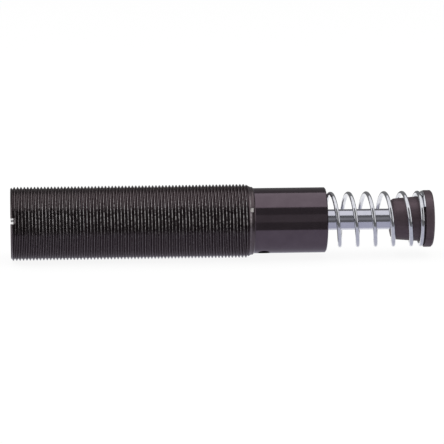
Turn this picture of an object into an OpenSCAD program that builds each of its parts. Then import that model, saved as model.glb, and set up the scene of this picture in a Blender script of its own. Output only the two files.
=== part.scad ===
// Self-contained hydraulic shock absorber with a threaded body, a return spring and a strike button.
// The axis runs along X: the rear face lies at X = 0 and the rod comes out towards +X, fully extended.

/* [Body] */
// Major diameter of the mounting thread (M33 x 1.5, external)
thread_d = 32.8; // [32.2:0.1:36]
// Length of the thread with its run-out and the collar behind the nose
thread_l = 108.1; // [105:0.1:150]
// Chamfer on the rear end of the thread
thread_chamfer = 0.8; // [0.2:0.1:1.5]
// Length over which the thread runs out on to the collar
runout_l = 2.2; // [1.5:0.1:6]
// Length of the plain collar between the thread and the nose
collar_l = 1.3; // [1:0.1:3]
// Height of that collar above the nose
collar_step = 0.55; // [0.3:0.05:0.7]
// Diameter of the smooth nose in front of the thread
nose_d = 29.2; // [29:0.1:30.6]
// Length of the smooth nose
nose_l = 32.2; // [30:0.1:50]
// Chamfer on the front edge of the nose
nose_chamfer = 0.4; // [0.1:0.1:0.8]
// Diameter of the main bore, which holds the gland
bore_d = 23.5; // [23.3:0.1:24]
// Diameter of the oil reservoir behind the base plate
reservoir_d = 21; // [19:0.1:22]
// Thickness of the closed rear wall
rear_wall = 8; // [7.5:0.1:14]

/* [Rear face] */
// Width of the driver slot across the rear face
slot_w = 2.6; // [1:0.1:4]
// Depth of the driver slot
slot_depth = 1.3; // [0.5:0.1:1.5]
// Angle of the slot about the axis, from horizontal
slot_turn = 165; // [0:1:180]
// Diameter of the threaded fill port
port_d = 8; // [6.5:0.1:12]
// How far the fill plug sits below the rear face
plug_inset = 1.7; // [1.6:0.1:2]
// Length of the fill plug
plug_l = 3.5; // [2.6:0.1:3.8]
// Size across the flats of the plug's hexagon socket
plug_socket = 4; // [2.5:0.1:4.5]
// Thickness of the sealing ring under the plug
plug_seal_t = 1; // [0.5:0.1:1.2]
// Diameter of the oil hole that the plug closes
fill_hole_d = 3.2; // [2:0.1:3.6]

/* [Spanner hole] */
// Diameter of the blind hole for a pin spanner
spanner_d = 5.2; // [3:0.1:6]
// Depth of the spanner hole below the nose's surface
spanner_depth = 2.1; // [1:0.1:2.2]
// Distance of the spanner hole from the rear of the nose
spanner_x = 4.3; // [3.2:0.1:20]
// Angle of the spanner hole about the axis, from straight down towards the front
spanner_turn = 23; // [0:1:359]

/* [Front end] */
// Diameter of the counterbore that the spring goes into
counterbore_d = 26.2; // [26:0.1:26.6]
// Depth of that counterbore
counterbore_depth = 6.5; // [4:0.1:8]
// Thickness of the retaining ring
clip_t = 1.2; // [0.8:0.1:1.6]
// Depth of the retaining ring's groove in the wall
clip_groove = 0.7; // [0.4:0.05:0.8]
// Radial width of the retaining ring
clip_w = 1.6; // [1.2:0.1:2]
// Wall left between the ring's groove and the counterbore
clip_land = 1.3; // [0.6:0.1:2]

/* [Stroke and rod] */
// Working stroke of the rod
stroke = 25; // [12:0.5:40]
// Rod that still shows between the body and the button at full stroke
rod_reserve = 4.5; // [2:0.1:12]
// Diameter of the hard-chromed rod
rod_d = 9.3; // [8:0.1:10.4]
// Diameter of the stud that carries the piston
piston_stud_d = 5; // [4:0.1:5.4]
// Diameter of the stud that the button screws on to
button_stud_d = 7; // [5:0.1:7.6]
// Length of the stud inside the button
button_stud_l = 9; // [5:0.1:10]
// Depth of the pilot in the button that the full rod enters
button_pilot = 3; // [1:0.1:4]

/* [Button] */
// Diameter of the button's shank at the body side
shank_rear_d = 18.4; // [17.4:0.1:20]
// Diameter of the shank at the flange
shank_front_d = 20.4; // [18.8:0.1:20.6]
// Length of the shank
shank_l = 14.6; // [14.2:0.1:24]
// Corner radius at the rear end of the shank
shank_round = 2; // [0.5:0.1:2.5]
// Diameter of the strike flange
flange_d = 25.5; // [25.3:0.1:26]
// Thickness of the strike flange
flange_t = 3.8; // [2:0.1:6]
// Chamfer on the front edge of the flange
flange_chamfer = 0.6; // [0.2:0.1:1.2]

/* [Return spring] */
// Outside diameter of the spring
spring_od = 25.2; // [25:0.1:25.5]
// Diameter of the spring wire
wire_d = 1.9; // [1.4:0.05:2]
// Number of turns, with the closed ones
spring_turns = 8.13; // [7:0.01:10]
// Turns that lie closed at each end
closed_turns = 0.9; // [0.5:0.1:1.4]
// Turns over which the pitch opens from closed to full
opening_turns = 0.8; // [0.4:0.1:1.2]
// Air left between two closed turns
closed_gap = 0.06; // [0.03:0.01:0.2]
// Share of the wire that grinding leaves at the tips
tip_share = 0.35; // [0.25:0.01:0.5]
// Angle of the wire's front tip about the axis, from towards the back and up
tip_turn = 144; // [0:1:359]
// Thickness of the washer that the spring stands on
seat_t = 1.5; // [1:0.1:2.5]
// Bore of that washer
seat_bore = 12; // [11:0.1:18]

/* [Gland] */
// Length of the gland
gland_l = 28; // [27:0.1:36]
// Length of the bronze rod bearing
bearing_l = 12; // [8:0.1:12.8]
// Wall of the rod bearing
bearing_wall = 1.5; // [1:0.1:1.7]
// Depth of the closed end behind the bearing
gland_floor = 4; // [2.5:0.1:4.8]
// Length of the rod seal
rod_seal_l = 5.2; // [4:0.1:5.4]
// Radial width of the rod seal
rod_seal_w = 3.1; // [2.4:0.1:3.2]
// Thickness of the washer between seal and wiper
spacer_t = 1.3; // [0.8:0.1:1.4]
// Length of the wiper inside the gland
wiper_l = 3; // [2:0.1:3.2]
// Radial width of the wiper
wiper_w = 3.8; // [3.4:0.1:4.2]
// How far the wiper's lip stands out of the gland
wiper_lip = 0.5; // [0.2:0.1:0.8]
// Section of the gland's O-ring
gland_oring_d = 1.6; // [1.2:0.1:2]
// Distance of that O-ring's groove from the rear of the gland
gland_groove_x = 8; // [4:0.1:14]
// Depth of the ring groove that holds the front of the tube
tube_pilot = 2; // [1:0.1:2.4]

/* [Pressure tube] */
// Inside diameter of the pressure tube
tube_id = 16; // [15.6:0.1:16.6]
// Wall of the pressure tube
tube_wall = 2; // [1.2:0.1:2.2]
// Number of metering holes along the stroke
orifice_count = 5; // [3:1:8]
// Diameter of a metering hole
orifice_d = 1.2; // [0.6:0.1:1.6]
// Number of return holes at the front of the tube
return_count = 4; // [2:1:6]
// Diameter of a return hole
return_d = 2; // [1:0.1:2.4]

/* [Base plate] */
// Thickness of the base plate
plate_t = 5; // [3.5:0.1:8]
// Length of its spigot inside the tube
spigot_l = 2.6; // [2.4:0.1:5]
// Section of the O-ring on the spigot
spigot_oring_d = 1; // [0.8:0.1:1.2]
// Number of oil channels round the plate
channel_count = 6; // [3:1:8]
// Width of an oil channel
channel_w = 2.2; // [1.2:0.1:3]
// Depth of the channel in the plate's rear face
channel_depth = 1.2; // [0.6:0.1:2]

/* [Piston] */
// Length of the rear flange of the piston
rear_flange_t = 1.5; // [1:0.1:2.5]
// Width of the guide ring's groove
guide_groove = 3; // [2:0.1:4]
// Radial thickness of the guide ring
guide_t = 1.05; // [0.8:0.05:1.2]
// Open gap of the split guide ring
guide_split = 0.8; // [0.4:0.1:1.5]
// Length of the middle flange of the piston
middle_flange_t = 2.2; // [1.5:0.1:3]
// Width of the check ring
check_w = 2.4; // [1.6:0.1:3]
// Travel of the check ring in its groove
check_float = 0.7; // [0.3:0.1:1.2]
// Radial thickness of the check ring
check_t = 1.55; // [1.3:0.05:1.7]
// Wall of the piston under the check ring's groove
check_wall = 2; // [1.2:0.1:2.4]
// Length of the front flange of the piston
front_flange_t = 1.6; // [1:0.1:2.5]
// Number of oil drillings through the piston
drilling_count = 6; // [3:1:8]
// Diameter of an oil drilling
drilling_d = 1.8; // [1:0.1:1.8]
// Thickness of the piston nut
nut_t = 3.2; // [2.5:0.1:5]
// Size across the flats of the piston nut
nut_flats = 8; // [7.2:0.1:8]
// Thickness of the washer in front of the piston
washer_t = 1.6; // [1:0.1:2.5]
// Thickness of the ring that stops the piston when the rod is out
stop_t = 1.4; // [0.8:0.1:2]

/* [Accumulator] */
// Bore of the foam sleeve
foam_bore = 9; // [6:0.1:12]

/* [Part to show] */
// Which piece to build

/* [Hidden] */

$fn = 96;

// fits: radial clearance of what slides, of what is seated by hand, and of soft pieces
run_fit = 0.05;
close_fit = 0.03;
seat_fit = 0.02;
loose_fit = 0.15;
soft_gap = 0.3;
face_gap = 0.05;
// how far a cutting tool reaches past the face that it opens
past = 1;

// radii
thread_r = thread_d / 2;
nose_r = nose_d / 2;
collar_r = nose_r + collar_step;
bore_r = bore_d / 2;
reservoir_r = reservoir_d / 2;
port_r = port_d / 2;
counterbore_r = counterbore_d / 2;
rod_r = rod_d / 2;
piston_stud_r = piston_stud_d / 2;
button_stud_r = button_stud_d / 2;
tube_ir = tube_id / 2;
tube_or = tube_ir + tube_wall;
gland_r = bore_r - close_fit;
wire_r = wire_d / 2;
coil_r = (spring_od - wire_d) / 2;

// stations along the axis, from the rear face
x_collar = thread_l - collar_l;
body_l = thread_l + nose_l;
x_port_floor = plug_inset + plug_l + plug_seal_t;
x_counterbore = body_l - counterbore_depth;
x_clip_end = x_counterbore - clip_land;
clip_groove_w = clip_t + 2 * face_gap;
x_gland_front = x_clip_end - clip_groove_w;
x_gland = x_gland_front - gland_l;
x_tube_end = x_gland + tube_pilot;
x_stop = x_gland - stop_t;
x_rod_step = x_stop - face_gap;
x_piston_front = x_rod_step - washer_t;
check_groove = check_w + check_float + face_gap;
x_check = x_piston_front - front_flange_t - check_groove;
x_guide = x_check - middle_flange_t - guide_groove;
x_piston = x_guide - rear_flange_t;
stud_over = 0.6;
x_nut = x_piston - nut_t;
x_stud_end = x_nut - stud_over;
end_clearance = 1;
x_spigot_end = x_stud_end - stroke - end_clearance;
x_tube = x_spigot_end - spigot_l;
x_plate = x_tube - plate_t;
rod_out = stroke + rod_reserve;
x_button = body_l + rod_out;
x_flange = x_button + shank_l;
x_front = x_flange + flange_t;
x_seat = x_counterbore + seat_t;

// gland stations
x_bearing = x_gland + gland_floor;
x_bearing_end = x_bearing + bearing_l;
x_wiper = x_gland_front - wiper_l;
x_spacer = x_wiper - spacer_t;
x_rod_seal = x_spacer - rod_seal_l;
rod_seal_r = rod_r + rod_seal_w;
wiper_r = rod_r + wiper_w;
bearing_r = rod_r + close_fit + bearing_wall;

// small edge breaks on turned pieces
edge_break = 0.3;

// turns a profile of [radius, x] points about the X axis
module lathe() {
    rotate([0, 90, 0])
        rotate_extrude()
            children();
}

// a rod of radius r along X from x0 to x1
module rod_x(r, x0, x1) {
    translate([x0, 0, 0])
        rotate([0, 90, 0])
            cylinder(r = r, h = x1 - x0);
}

// a ring of radii ri and ro along X, with its edges broken
module ring_x(ri, ro, x0, x1, chamfer = 0) {
    lathe()
        polygon([
            [ri + chamfer, x0], [ro - chamfer, x0], [ro, x0 + chamfer], [ro, x1 - chamfer],
            [ro - chamfer, x1], [ri + chamfer, x1], [ri, x1 - chamfer], [ri, x0 + chamfer]
        ]);
}

// a plain ring without edge breaks
module plain_ring_x(ri, ro, x0, x1) {
    difference() {
        rod_x(ro, x0, x1);
        rod_x(ri, x0 - past, x1 + past);
    }
}

// a cylinder along Z with both ends chamfered, to break the corners of a nut
module broken_disc(r, h, chamfer) {
    rotate_extrude()
        polygon([
            [0, 0], [r - chamfer, 0], [r, chamfer], [r, h - chamfer], [r - chamfer, h], [0, h]
        ]);
}

// count copies of what is drawn at the top of the circle, turned about X
module round_x(count, first = 0) {
    for (i = [0 : count - 1])
        rotate([first + i * 360 / count, 0, 0])
            children();
}

// points of an arc in the plane of a profile
function arc(cx, cy, r, a0, a1, n) =
    [for (i = [0 : n]) let (a = a0 + (a1 - a0) * i / n) [cx + r * cos(a), cy + r * sin(a)]];

// barrel: thread at its major diameter, collar, nose, bores, slot, port and spanner hole
module cylinder_body() {
    clip_r = bore_r + clip_groove;
    spanner_floor = nose_r - spanner_depth;
    color("#2b2a2c")
        difference() {
            lathe()
                polygon([
                    [0, 0], [thread_r - thread_chamfer, 0], [thread_r, thread_chamfer],
                    [thread_r, x_collar - runout_l], [collar_r, x_collar],
                    [collar_r, thread_l - collar_step], [nose_r, thread_l],
                    [nose_r, body_l - nose_chamfer], [nose_r - nose_chamfer, body_l], [0, body_l]
                ]);
            rod_x(reservoir_r, rear_wall, x_plate + past);
            rod_x(bore_r, x_plate, x_counterbore + past);
            rod_x(clip_r, x_gland_front, x_clip_end);
            rod_x(counterbore_r, x_counterbore, body_l + past);
            lathe()
                polygon([
                    [0, body_l - edge_break], [counterbore_r, body_l - edge_break],
                    [counterbore_r + edge_break, body_l], [counterbore_r + edge_break, body_l + past],
                    [0, body_l + past]
                ]);
            rod_x(port_r, -past, x_port_floor);
            rod_x(fill_hole_d / 2, -past, rear_wall + past);
            rotate([slot_turn, 0, 0])
                translate([-past, -thread_r - past, -slot_w / 2])
                    cube([slot_depth + past, 2 * (thread_r + past), slot_w]);
            rotate([180 - spanner_turn, 0, 0])
                translate([thread_l + spanner_x, 0, spanner_floor])
                    cylinder(d = spanner_d, h = spanner_depth + past);
        }
}

// set plug of the fill port, with a hexagon socket
module fill_plug() {
    plug_r = port_r - seat_fit;
    x_end = plug_inset + plug_l;
    socket_depth = plug_l - past;
    color("#6d6f72")
        difference() {
            lathe()
                polygon([
                    [0, plug_inset], [plug_r - edge_break, plug_inset],
                    [plug_r, plug_inset + edge_break], [plug_r, x_end - edge_break],
                    [plug_r - edge_break, x_end], [0, x_end]
                ]);
            translate([plug_inset - past, 0, 0])
                rotate([0, 90, 0])
                    cylinder(d = plug_socket / cos(30), h = socket_depth + past, $fn = 6);
        }
}

// sealing ring under the fill plug
module fill_plug_seal() {
    x0 = plug_inset + plug_l;
    color("#9a5a32")
        plain_ring_x(fill_hole_d / 2 + loose_fit, port_r - seat_fit, x0, x0 + plug_seal_t);
}

// closed-cell foam sleeve that takes up the oil which the rod displaces
module foam_accumulator() {
    color("#4a4d44")
        plain_ring_x(foam_bore / 2, reservoir_r - soft_gap, rear_wall + soft_gap, x_plate - soft_gap);
}

// base plate: closes the tube and leads oil from the annulus to the reservoir
module base_plate() {
    groove_r = tube_ir - spigot_oring_d + run_fit;
    groove_w = spigot_oring_d + 2 * loose_fit;
    x_groove = x_tube + (spigot_l - groove_w) / 2;
    channel_r = tube_ir + tube_wall / 2;
    color("#8d9094")
        difference() {
            union() {
                rod_x(gland_r, x_plate, x_tube);
                lathe()
                    polygon([
                        [0, x_tube - edge_break], [tube_ir - run_fit, x_tube - edge_break],
                        [tube_ir - run_fit, x_spigot_end - edge_break],
                        [tube_ir - run_fit - edge_break, x_spigot_end], [0, x_spigot_end]
                    ]);
            }
            plain_ring_x(groove_r, tube_ir + past, x_groove, x_groove + groove_w);
            round_x(channel_count) {
                translate([x_plate - past, -channel_w / 2, channel_r])
                    cube([channel_depth + past, channel_w, bore_r]);
                translate([x_plate - past, -channel_w / 2, tube_or])
                    cube([plate_t + 2 * past, channel_w, bore_r]);
            }
        }
}

// O-ring on the spigot of the base plate
module tube_seal() {
    groove_w = spigot_oring_d + 2 * loose_fit;
    x_mid = x_tube + spigot_l / 2;
    ring_r = (spigot_oring_d - run_fit - 2 * seat_fit) / 2;
    color("#1d1d1f")
        lathe()
            translate([tube_ir - seat_fit - ring_r, x_mid])
                circle(r = ring_r);
}

// pressure tube: metering holes closer together towards the end of the stroke, and return holes
module pressure_tube() {
    x_return = x_piston_front + washer_t / 2;
    color("#a9acb1")
        difference() {
            plain_ring_x(tube_ir, tube_or, x_tube, x_tube_end);
            for (i = [0 : orifice_count - 1]) {
                left = 1 - (i + 1 / 2) / orifice_count;
                x_hole = x_piston - stroke * (1 - left * left);
                rotate([i * 360 / orifice_count, 0, 0])
                    translate([x_hole, 0, 0])
                        cylinder(d = orifice_d, h = tube_or + past);
            }
            round_x(return_count)
                translate([x_return, 0, 0])
                    cylinder(d = return_d, h = tube_or + past);
        }
}

// piston: three flanges, with grooves for the guide ring and the check ring and oil drillings
module piston_head() {
    flange_r = tube_ir - 2 * loose_fit;
    guide_floor = tube_ir - run_fit - guide_t - run_fit;
    check_floor = piston_stud_r + seat_fit + check_wall;
    drilling_wall = 1;
    drilling_r = guide_floor - drilling_wall - drilling_d / 2;
    x_front_flange = x_piston_front - front_flange_t;
    color("#b58a3c")
        difference() {
            ring_x(piston_stud_r + seat_fit, flange_r, x_piston, x_piston_front, edge_break / 2);
            plain_ring_x(guide_floor, tube_ir, x_guide, x_guide + guide_groove);
            plain_ring_x(check_floor, tube_ir, x_check, x_front_flange);
            plain_ring_x(flange_r - loose_fit, tube_ir, x_front_flange - past / 2, x_piston_front + past);
            round_x(drilling_count, 180 / drilling_count)
                translate([x_piston - past, 0, drilling_r])
                    rotate([0, 90, 0])
                        cylinder(d = drilling_d, h = x_check - x_piston + past + face_gap);
        }
}

// split guide ring: slides with the piston, and the piston can turn inside it
module piston_ring() {
    ro = tube_ir - run_fit;
    x0 = x_guide + face_gap;
    color("#3f6f63")
        difference() {
            plain_ring_x(ro - guide_t, ro, x0, x_guide + guide_groove - face_gap);
            translate([x0 - past, -guide_split / 2, 0])
                cube([guide_groove + 2 * past, guide_split, tube_ir]);
        }
}

// floating check ring: seals on the front flange inwards, and lets oil past outwards
module check_ring() {
    ro = tube_ir - run_fit;
    x0 = x_check + face_gap / 2;
    color("#77797d")
        plain_ring_x(ro - check_t, ro, x0, x0 + check_w);
}

// nut that holds the piston on the rod
module piston_nut() {
    color("#8a8d92")
        difference() {
            translate([x_nut, 0, 0])
                rotate([0, 90, 0])
                    intersection() {
                        cylinder(d = nut_flats / cos(30), h = nut_t, $fn = 6);
                        broken_disc(nut_flats / cos(30) / 2, nut_t, edge_break);
                    }
            rod_x(piston_stud_r + seat_fit, x_nut - past, x_piston + past);
        }
}

// hardened washer between the piston and the step of the rod
module rebound_washer() {
    washer_r = tube_ir - 4 * loose_fit;
    color("#9b9ea3")
        ring_x(piston_stud_r + seat_fit, washer_r, x_piston_front, x_rod_step, edge_break / 2);
}

// rod with the piston stud behind and the button stud in front
module piston_rod() {
    x_step = x_button + button_pilot;
    x_end = x_step + button_stud_l;
    color("#c9ccd2")
        lathe()
            polygon([
                [0, x_stud_end], [piston_stud_r - edge_break, x_stud_end],
                [piston_stud_r, x_stud_end + edge_break], [piston_stud_r, x_rod_step],
                [rod_r - edge_break, x_rod_step], [rod_r, x_rod_step + edge_break],
                [rod_r, x_step - edge_break], [rod_r - edge_break, x_step],
                [button_stud_r, x_step], [button_stud_r, x_end - edge_break],
                [button_stud_r - edge_break, x_end], [0, x_end]
            ]);
}

// ring that the washer meets when the rod is fully out
module rebound_stop() {
    color("#5b5347")
        ring_x(rod_r + 2 * loose_fit, tube_ir - 2 * loose_fit, x_stop, x_gland, edge_break / 2);
}

// gland: closes the tube and the body, and carries bearing, seal and wiper
module gland() {
    boss_r = tube_ir - close_fit;
    groove_floor = gland_r - gland_oring_d - seat_fit;
    oring_groove_w = gland_oring_d + 4 * loose_fit;
    color("#9fa2a6")
        difference() {
            ring_x(rod_r + loose_fit, gland_r, x_gland, x_gland_front, edge_break);
            plain_ring_x(boss_r, tube_or + close_fit, x_gland - past, x_tube_end);
            plain_ring_x(
                groove_floor, bore_r + past, x_gland + gland_groove_x,
                x_gland + gland_groove_x + oring_groove_w
            );
            rod_x(bearing_r + seat_fit, x_bearing, x_rod_seal + past);
            rod_x(rod_seal_r + seat_fit, x_rod_seal, x_wiper + past / 2);
            rod_x(wiper_r + seat_fit, x_wiper, x_gland_front + past);
        }
}

// bronze bush that guides the rod
module rod_bearing() {
    color("#b07a3e")
        ring_x(rod_r + close_fit, bearing_r, x_bearing, x_bearing_end, edge_break / 2);
}

// lip seal on the rod, open towards the oil
module rod_seal() {
    ri = rod_r + close_fit;
    x0 = x_rod_seal + face_gap;
    mid = (ri + rod_seal_r) / 2;
    vee = rod_seal_w / 4;
    color("#27406b")
        lathe()
            polygon([
                [ri, x0 + vee / 2], [ri + vee / 2, x0], [mid - vee, x0], [mid, x0 + rod_seal_l / 2],
                [mid + vee, x0], [rod_seal_r, x0], [rod_seal_r, x_spacer], [ri, x_spacer]
            ]);
}

// washer between the rod seal and the wiper
module seal_spacer() {
    color("#a5a8ad")
        plain_ring_x(rod_r + loose_fit, rod_seal_r, x_spacer, x_wiper);
}

// wiper with its lip out of the gland
module rod_wiper() {
    ri = rod_r + close_fit;
    lip_r = ri + wiper_w / 4;
    x_lip = x_gland_front + wiper_lip;
    color("#202022")
        lathe()
            polygon([
                [ri, x_wiper], [wiper_r, x_wiper], [wiper_r, x_gland_front - face_gap],
                [lip_r + wiper_w / 4, x_gland_front - face_gap],
                [lip_r, x_gland_front - wiper_l / 3], [ri + face_gap, x_lip], [ri, x_lip]
            ]);
}

// O-ring between the gland and the body
module gland_seal() {
    ring_r = (gland_oring_d - seat_fit) / 2;
    x_mid = x_gland + gland_groove_x + gland_oring_d / 2 + 2 * loose_fit;
    color("#1d1d1f")
        lathe()
            translate([gland_r - ring_r, x_mid])
                circle(r = ring_r);
}

// internal retaining ring with two eyes beside its gap
module retaining_ring() {
    ro = bore_r + clip_groove - face_gap;
    ri = ro - clip_w;
    eye_r = 1.25 * clip_w;
    eye_hole = 0.5 * clip_w;
    eye_at = ri - eye_r / 3;
    half_gap = 18;
    x0 = x_gland_front + face_gap;
    color("#35363a")
        translate([x0, 0, 0])
            rotate([0, 90, 0])
                linear_extrude(clip_t)
                    difference() {
                        union() {
                            difference() {
                                circle(r = ro);
                                circle(r = ri);
                                polygon([
                                    [0, 0], 2 * ro * [cos(half_gap), sin(half_gap)],
                                    2 * ro * [cos(half_gap), -sin(half_gap)]
                                ]);
                            }
                            intersection() {
                                circle(r = ro);
                                for (side = [-1, 1])
                                    rotate(side * half_gap)
                                        translate([eye_at, side * eye_r])
                                            circle(r = eye_r);
                            }
                        }
                        for (side = [-1, 1])
                            rotate(side * half_gap)
                                translate([eye_at, side * eye_r])
                                    circle(r = eye_hole);
                    }
}

// washer on the shoulder of the counterbore, under the spring
module spring_seat() {
    color("#8f9296")
        ring_x(seat_bore / 2, counterbore_r - 2 * run_fit, x_counterbore, x_seat, edge_break / 2);
}

// return spring: closed and ground ends, swept ring by ring along its helix
rings_per_turn = 24;
wire_sides = 10;
closed_pitch = wire_d + closed_gap;
x_coil_0 = x_seat + face_gap + tip_share * wire_d - wire_r;
x_coil_1 = x_flange - face_gap - tip_share * wire_d + wire_r;
open_pitch = (x_coil_1 - x_coil_0 - (2 * closed_turns + opening_turns) * closed_pitch)
    / (spring_turns - 2 * closed_turns - opening_turns);

// how far the wire has moved along X after t turns from the nearest end
function rise(t) =
    let (s = min(max(t - closed_turns, 0), opening_turns))
    let (full = max(t - closed_turns - opening_turns, 0))
    t * closed_pitch + (open_pitch - closed_pitch) * (s * s / opening_turns / 2 + full);

// centre of the wire after t turns from the rear end
function coil_x(t) =
    t < spring_turns / 2 ? x_coil_0 + rise(t) : x_coil_1 - rise(spring_turns - t);

// one ring of the sweep, with its ends cut flat by the seat and by the flange
function coil_ring(t) =
    let (turn = tip_turn + 360 * (t - spring_turns))
    [for (i = [0 : wire_sides - 1])
        let (a = 360 * (i + 1 / 2) / wire_sides)
        let (r = coil_r + wire_r * cos(a))
        let (x = coil_x(t) + wire_r * sin(a))
        [min(max(x, x_seat + face_gap), x_flange - face_gap), r * cos(turn), r * sin(turn)]];

// the middle of a ring, where the triangles of an end face meet
function ring_middle(ring) = [for (i = [0 : wire_sides - 1]) 1 / wire_sides] * ring;

module return_spring() {
    count = ceil(spring_turns * rings_per_turn);
    rings = [for (k = [0 : count]) coil_ring(spring_turns * k / count)];
    middles = [ring_middle(rings[0]), ring_middle(rings[count])];
    points = concat([for (ring = rings) each ring], middles);
    rear = (count + 1) * wire_sides;
    walls = [for (k = [0 : count - 1], i = [0 : wire_sides - 1])
        let (a = k * wire_sides + i)
        let (b = k * wire_sides + (i + 1) % wire_sides)
        each [[a, b, b + wire_sides], [a, b + wire_sides, a + wire_sides]]];
    ends = [for (i = [0 : wire_sides - 1])
        let (a = i)
        let (b = (i + 1) % wire_sides)
        each [[rear, b, a], [rear + 1, count * wire_sides + a, count * wire_sides + b]]];
    color("#b9c0c8")
        polyhedron(points = points, faces = concat(walls, ends), convexity = 10);
}

// strike button: tapered shank inside the spring, and a flange
module button() {
    rear_r = shank_rear_d / 2;
    front_r = shank_front_d / 2;
    flange_r = flange_d / 2;
    neck = 0.3;
    color("#3b3130")
        difference() {
            lathe()
                polygon(concat(
                    [[0, x_button]],
                    arc(rear_r - shank_round, x_button + shank_round, shank_round, -90, 0, 6),
                    [
                        [front_r, x_flange - neck], [front_r + neck, x_flange],
                        [flange_r - edge_break, x_flange], [flange_r, x_flange + edge_break],
                        [flange_r, x_front - flange_chamfer], [flange_r - flange_chamfer, x_front],
                        [0, x_front]
                    ]
                ));
            rod_x(rod_r + seat_fit, x_button - past, x_button + button_pilot);
            rod_x(button_stud_r + seat_fit, x_button, x_button + button_pilot + button_stud_l + past);
        }
}

cylinder_body();
fill_plug();
fill_plug_seal();
foam_accumulator();
base_plate();
tube_seal();
pressure_tube();
piston_head();
piston_ring();
check_ring();
piston_nut();
rebound_washer();
piston_rod();
rebound_stop();
gland();
rod_bearing();
rod_seal();
seal_spacer();
rod_wiper();
gland_seal();
retaining_ring();
spring_seat();
return_spring();
button();
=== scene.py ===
import logging
import math
from dataclasses import dataclass
from enum import Enum
from typing import Any, Iterable, Sequence

import bmesh
import bpy
from mathutils import Matrix, Vector


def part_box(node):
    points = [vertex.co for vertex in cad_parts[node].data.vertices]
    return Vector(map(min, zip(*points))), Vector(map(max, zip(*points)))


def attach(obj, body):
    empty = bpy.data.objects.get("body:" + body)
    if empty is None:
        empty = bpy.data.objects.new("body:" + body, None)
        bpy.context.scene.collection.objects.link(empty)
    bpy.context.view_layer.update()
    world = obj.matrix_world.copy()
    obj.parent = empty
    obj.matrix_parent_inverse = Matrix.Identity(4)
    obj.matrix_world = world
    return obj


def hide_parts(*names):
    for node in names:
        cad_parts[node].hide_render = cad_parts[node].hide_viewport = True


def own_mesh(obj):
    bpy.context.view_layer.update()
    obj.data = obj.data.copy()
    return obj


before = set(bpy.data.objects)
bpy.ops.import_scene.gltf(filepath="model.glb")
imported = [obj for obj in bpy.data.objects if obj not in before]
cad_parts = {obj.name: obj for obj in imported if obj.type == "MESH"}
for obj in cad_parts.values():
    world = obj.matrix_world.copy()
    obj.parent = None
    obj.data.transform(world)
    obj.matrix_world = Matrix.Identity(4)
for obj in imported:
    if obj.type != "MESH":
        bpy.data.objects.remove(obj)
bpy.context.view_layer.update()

log = logging.getLogger("shock_absorber")

MM = 0.001
AXIS = (1.0, 0.0, 0.0)
CENTRE = (0.0, 0.0, 0.0)
# metres within which points are merged: in general, where the thread's turns meet, and after the cuts
WELD = 1e-7
TURN_JOINT = 1e-6
HAIR = 3e-6
SHARP_DEG = 28.0
# way from band to band of a Wave Texture node at a scale of 1
WAVE_STEP = math.pi / 10

Pair = tuple[float, float]
Triple = tuple[float, float, float]
Colour = tuple[float, float, float, float]
Key = str | int
Piece = bpy.types.Object
Solid = bmesh.types.BMesh
Material = bpy.types.Material
Tree = bpy.types.NodeTree
Socket = bpy.types.NodeSocket


# ------ helpers


def linear(code: str) -> Colour:
    """Turn an sRGB hex value into the linear colour that a shader takes.

    Args:
        code: colour as "#rrggbb".

    Returns:
        Red, green, blue and an alpha of 1.
    """
    shares = [int(code[i:i + 2], 16) / 255 for i in (1, 3, 5)]
    red, green, blue = [s / 12.92 if s <= 0.04045 else ((s + 0.055) / 1.055) ** 2.4 for s in shares]
    return red, green, blue, 1.0


def add_node(
    tree: Tree, kind: str, settings: dict[Key, Any] | None = None, links: dict[Key, Socket] | None = None,
) -> bpy.types.Node:
    """Add one node with its settings and links.

    Args:
        tree: node tree that takes the node.
        kind: type of the node.
        settings: values by name or number of an input, or by name of a property.
        links: what feeds each input, by the input's name or number.

    Returns:
        The new node.
    """
    node = tree.nodes.new(kind)
    for key, value in (settings or {}).items():
        if isinstance(key, str) and key not in node.inputs:
            setattr(node, key, value)
        else:
            node.inputs[key].default_value = value
    for key, source in (links or {}).items():
        tree.links.new(source, node.inputs[key])
    return node


def map_from(span: Pair, unit: float = MM) -> dict[Key, Any]:
    """Give a Map Range node's settings for the span that it reads."""
    return {"From Min": span[0] * unit, "From Max": span[1] * unit}


def box_mm(node: str) -> Triple:
    """Read a CAD node's place along the axis.

    Args:
        node: name of the CAD node.

    Returns:
        Rear end, front end and outer radius, in mm.
    """
    low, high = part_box(node)
    return low.x / MM, high.x / MM, high.z / MM


def smooth(mesh: bpy.types.Mesh, sharp_deg: float = SHARP_DEG) -> None:
    """Shade a mesh smooth, with a sharp edge where two faces meet at more than an angle."""
    mesh.shade_smooth()
    mesh.set_sharp_from_angle(angle=math.radians(sharp_deg))


def made(bm: Solid, name: str, sharp_deg: float = SHARP_DEG) -> Piece:
    """Turn a finished bmesh into an object with smooth faces and sharp corners.

    Args:
        bm: the mesh, which is used up.
        name: name of the piece.
        sharp_deg: faces that meet at more than this angle keep a sharp edge between them.

    Returns:
        The object, linked to the scene.
    """
    mesh = bpy.data.meshes.new(name)
    bm.to_mesh(mesh)
    bm.free()
    smooth(mesh, sharp_deg)
    piece = bpy.data.objects.new(name, mesh)
    bpy.context.scene.collection.objects.link(piece)
    return piece


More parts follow.
